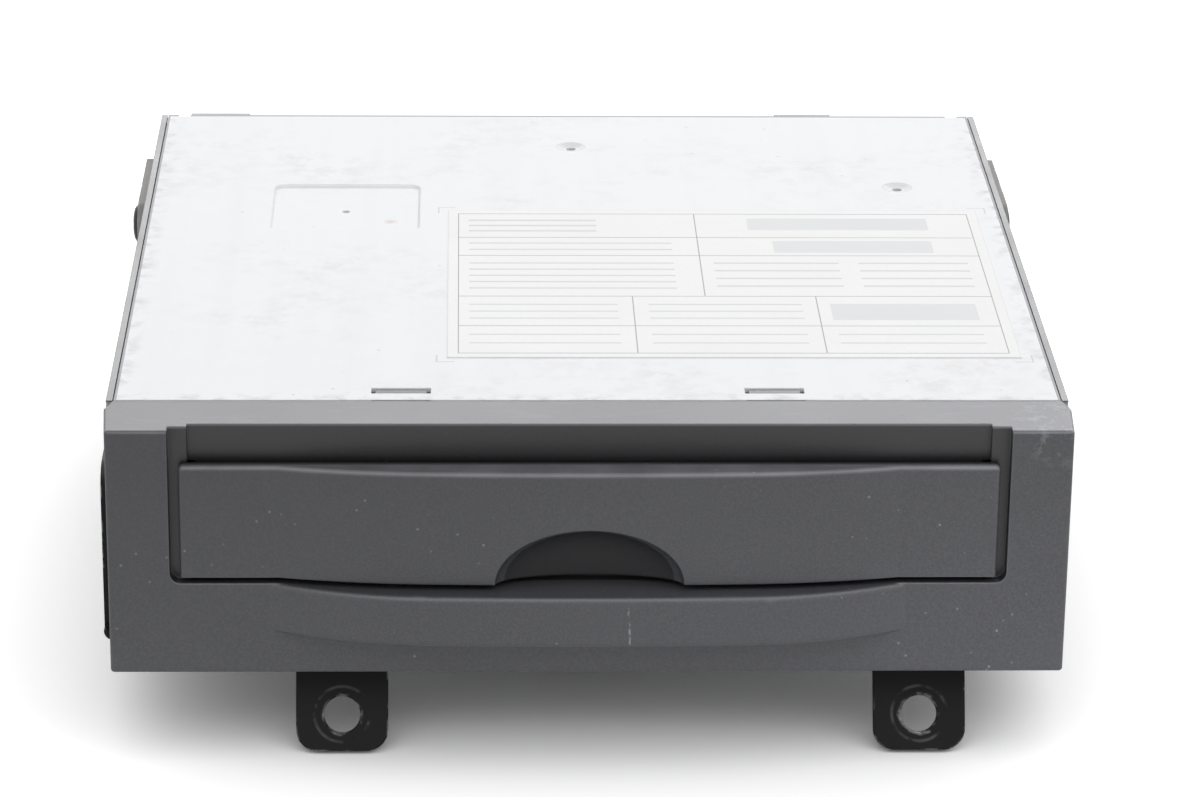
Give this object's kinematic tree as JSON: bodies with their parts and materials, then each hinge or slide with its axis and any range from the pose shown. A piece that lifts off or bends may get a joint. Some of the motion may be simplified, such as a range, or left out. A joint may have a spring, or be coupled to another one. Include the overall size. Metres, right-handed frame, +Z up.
{
  "type": "car navigation disc player",
  "caption": "Single-DIN car navigation disc player: steel case, charcoal bezel with a sliding door over a disc slot, slot-loading drive inside, and a steel cradle with leaning drilled tabs.",
  "frame": {"origin": "centre of the bounding box's underside, on the surface that the tabs stand on", "axes": "+Z up, the front faces -Y, +X is to the right seen from the front"},
  "size_m": [0.1852, 0.1991, 0.0676],
  "materials": {
    "cover_steel": "satin pale grey paint, dusty",
    "case_steel": "plated sheet steel",
    "cradle_paint": "satin black paint",
    "label_paper": "printed film label",
    "bezel_plastic": "fine-grained charcoal plastic",
    "black_plastic": "moulded black plastic",
    "white_plastic": "natural acetal",
    "spring_steel": "bright spring strip",
    "felt": "black felt",
    "screw_steel": "plated screws",
    "black_screw": "blackened screws",
    "board_green": "solder mask on glass-fibre board",
    "chip_black": "epoxy chip packages",
    "capacitor_sleeve": "sleeved electrolytic cans",
    "can_tin": "tinned steel",
    "insulator_film": "black polyester film",
    "contact_brass": "plated contacts",
    "drive_steel": "plated drive sheet",
    "rubber": "soft rubber",
    "roller_rubber": "tapered feed roller rubber",
    "shaft_steel": "ground steel",
    "motor_steel": "small motor cans",
    "lens_glass": "coated lens",
    "ribbon": "flat ribbon cable"
  },
  "bodies": {
    "housing": {"chassis_case": "case_steel", "top_cover": "cover_steel", "label_sheet": "label_paper", "front_bezel": "bezel_plastic", "door_detent_springs": "spring_steel", "slot_felts": "felt", "switch_body": "black_plastic", "front_board": "board_green", "front_board_screws": "screw_steel", "mounting_cradle": "cradle_paint", "cradle_screws": "black_screw", "rear_panel": "case_steel", "rear_panel_screws": "screw_steel", "insulator_sheet": "insulator_film", "board_standoffs": "contact_brass", "main_board": "board_green", "board_screws": "screw_steel", "board_chips": "chip_black", "capacitors": "capacitor_sleeve", "shield_can": "can_tin", "gyro_sensor": "chip_black", "main_connector": "white_plastic", "connector_pins": "contact_brass", "antenna_sockets": "black_plastic", "antenna_contacts": "contact_brass", "video_socket": "black_plastic", "drive_posts": "case_steel", "rubber_dampers": "rubber", "drive_screws": "screw_steel", "drive_frame": "drive_steel", "drive_top_plate": "drive_steel", "top_plate_screws": "screw_steel", "disc_guide": "black_plastic", "roller_arm_studs": "shaft_steel", "deck_spacers": "shaft_steel", "traverse_deck": "drive_steel", "spindle_motor": "motor_steel", "guide_rods": "shaft_steel", "sled_motor": "motor_steel", "clamp_pivot_pin": "shaft_steel", "drive_board": "board_green", "flat_cables": "ribbon"},
    "door": {"sliding_door": "bezel_plastic"},
    "eject": {"eject_button": "black_plastic", "switch_plunger": "white_plastic"},
    "roller_unit": {"roller_arm": "drive_steel", "loading_motor": "motor_steel"},
    "feed_roller_unit": {"roller_shaft": "shaft_steel", "feed_roller": "roller_rubber", "roller_gear": "white_plastic"},
    "idler": {"idler_gear": "white_plastic"},
    "pinion": {"loading_pinion": "white_plastic"},
    "disc_table": {"turntable": "black_plastic"},
    "clamp_swing": {"clamp_arm": "drive_steel"},
    "clamp_plate": {"clamp_disc": "black_plastic"},
    "pickup": {"optical_pickup": "black_plastic", "objective_lens": "lens_glass"},
    "sled_screw": {"lead_screw": "shaft_steel"}
  },
  "joints": [
    {"name": "door_slide", "type": "slide", "parent": "housing", "child": "door", "axis": [0, 0, 1], "range_m": [0, 0.0195]},
    {"name": "eject_press", "type": "slide", "parent": "housing", "child": "eject", "axis": [0, 1, 0], "range_m": [0, 0.0008], "stiffness_N_per_m": 400, "springref_m": -0.0005},
    {"name": "roller_unit_swing", "type": "hinge", "parent": "housing", "child": "roller_unit", "pos_m": [0, -0.04588, 0.0499], "axis": [-1, 0, 0], "range_deg": [0, 14]},
    {"name": "idler_spin", "type": "hinge", "parent": "roller_unit", "child": "idler", "pos_m": [0.0636, -0.04588, 0.0499], "axis": [1, 0, 0], "continuous": true},
    {"name": "feed_roller_spin", "type": "hinge", "parent": "roller_unit", "child": "feed_roller_unit", "pos_m": [0, -0.05935, 0.0469], "axis": [1, 0, 0], "continuous": true},
    {"name": "pinion_spin", "type": "hinge", "parent": "roller_unit", "child": "pinion", "pos_m": [0.0636, -0.0339, 0.04601], "axis": [1, 0, 0], "continuous": true},
    {"name": "turntable_spin", "type": "hinge", "parent": "housing", "child": "disc_table", "pos_m": [0, 0.00965, 0.0497], "axis": [0, 0, 1], "continuous": true},
    {"name": "clamp_swing", "type": "hinge", "parent": "housing", "child": "clamp_swing", "pos_m": [0, 0.07125, 0.0588], "axis": [1, 0, 0], "range_deg": [0, 5.8]},
    {"name": "clamp_plate_spin", "type": "hinge", "parent": "clamp_swing", "child": "clamp_plate", "pos_m": [0, 0.00918, 0.05727], "axis": [0, 0.1011, 0.9949], "continuous": true},
    {"name": "pickup_travel", "type": "slide", "parent": "housing", "child": "pickup", "axis": [1, 0, 0], "range_m": [0, 0.032]},
    {"name": "sled_screw_spin", "type": "hinge", "parent": "housing", "child": "sled_screw", "pos_m": [0, 0.03625, 0.0445], "axis": [1, 0, 0], "continuous": true}
  ],
  "couplings": [
    {"joint": "feed_roller_spin", "follows": "idler_spin", "ratio": -1.875},
    {"joint": "pinion_spin", "follows": "idler_spin", "ratio": -2.5},
    {"joint": "clamp_plate_spin", "follows": "turntable_spin", "ratio": 1},
    {"joint": "sled_screw_spin", "follows": "pickup_travel", "rad_per_m": 2094.4}
  ]
}
